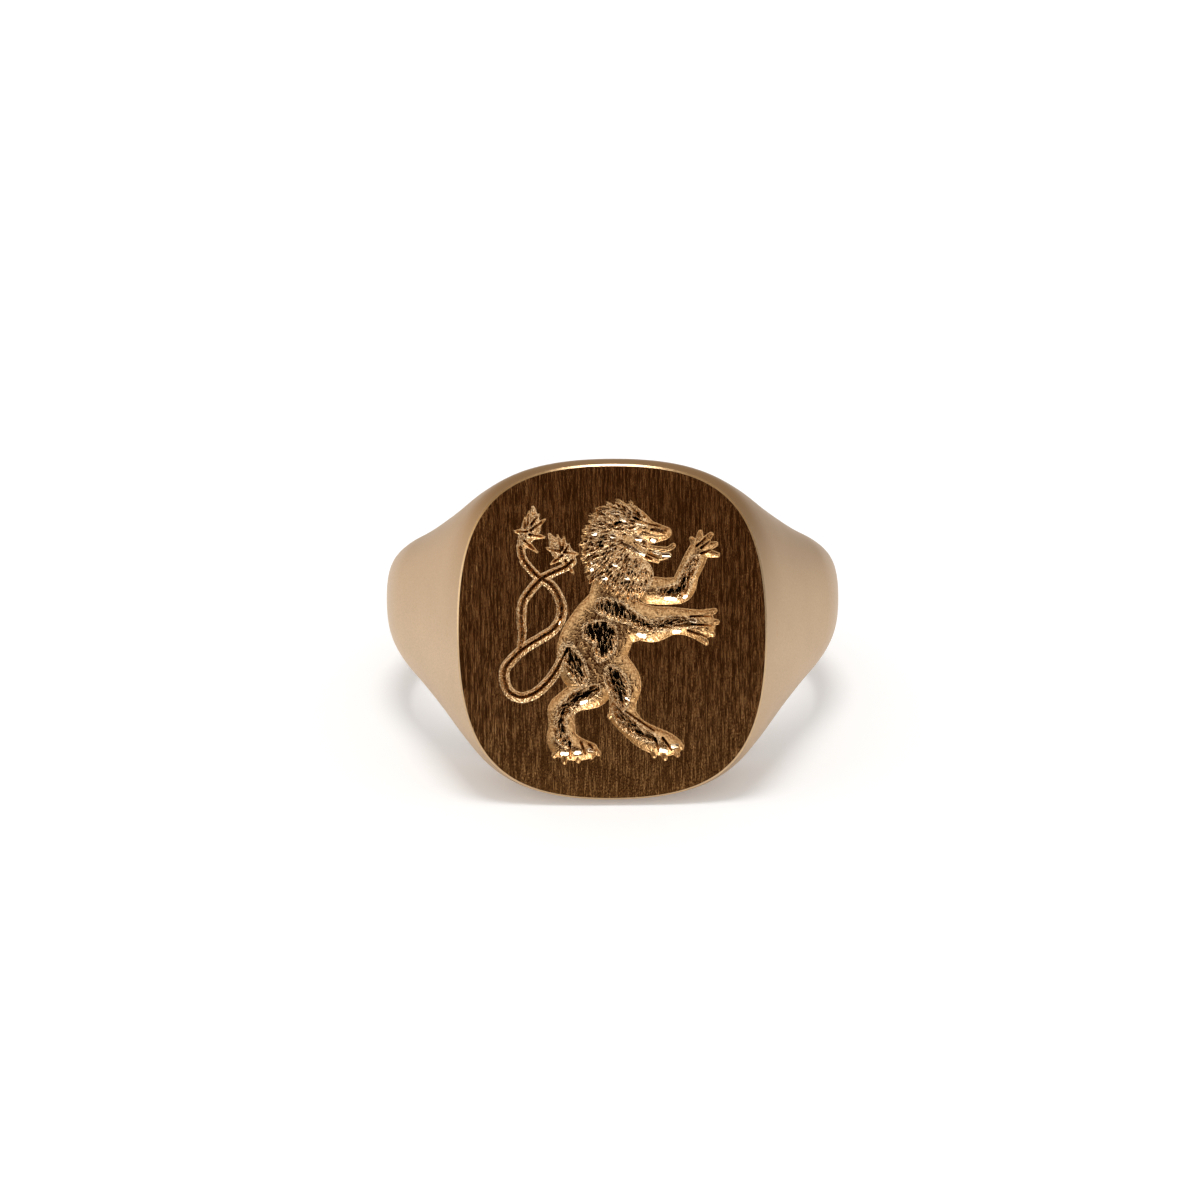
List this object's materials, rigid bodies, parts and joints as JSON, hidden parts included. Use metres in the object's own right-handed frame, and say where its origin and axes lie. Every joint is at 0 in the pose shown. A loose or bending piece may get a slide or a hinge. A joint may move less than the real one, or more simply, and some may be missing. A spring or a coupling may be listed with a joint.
{
  "type": "signet ring",
  "caption": "Gold signet ring with a cushion-shaped seal face that bears an engraved rampant lion, and shoulders that sweep into a tapering D-section band.",
  "frame": {"origin": "centre of the finger hole, on its axis and halfway up the band", "axes": "+Z along the finger hole, towards the lion's head; -Y out of the seal face; +X to the right of somebody who looks at the seal"},
  "size_m": [0.0218, 0.023, 0.0158],
  "materials": {
    "seal_gold": "gold, brushed lengthwise on the flat, polished in the cuts and on the bevel",
    "band_gold": "gold, fine satin",
    "solder": "gold solder, dressed flush"
  },
  "bodies": {
    "root": {"seal_plate": "seal_gold", "plate_seam": "solder", "head_block": "band_gold", "left_head_seam": "solder", "right_head_seam": "solder", "left_shoulder": "band_gold", "right_shoulder": "band_gold", "left_shank_seam": "solder", "right_shank_seam": "solder", "left_shank": "band_gold", "right_shank": "band_gold", "closing_seam": "solder"}
  },
  "joints": []
}
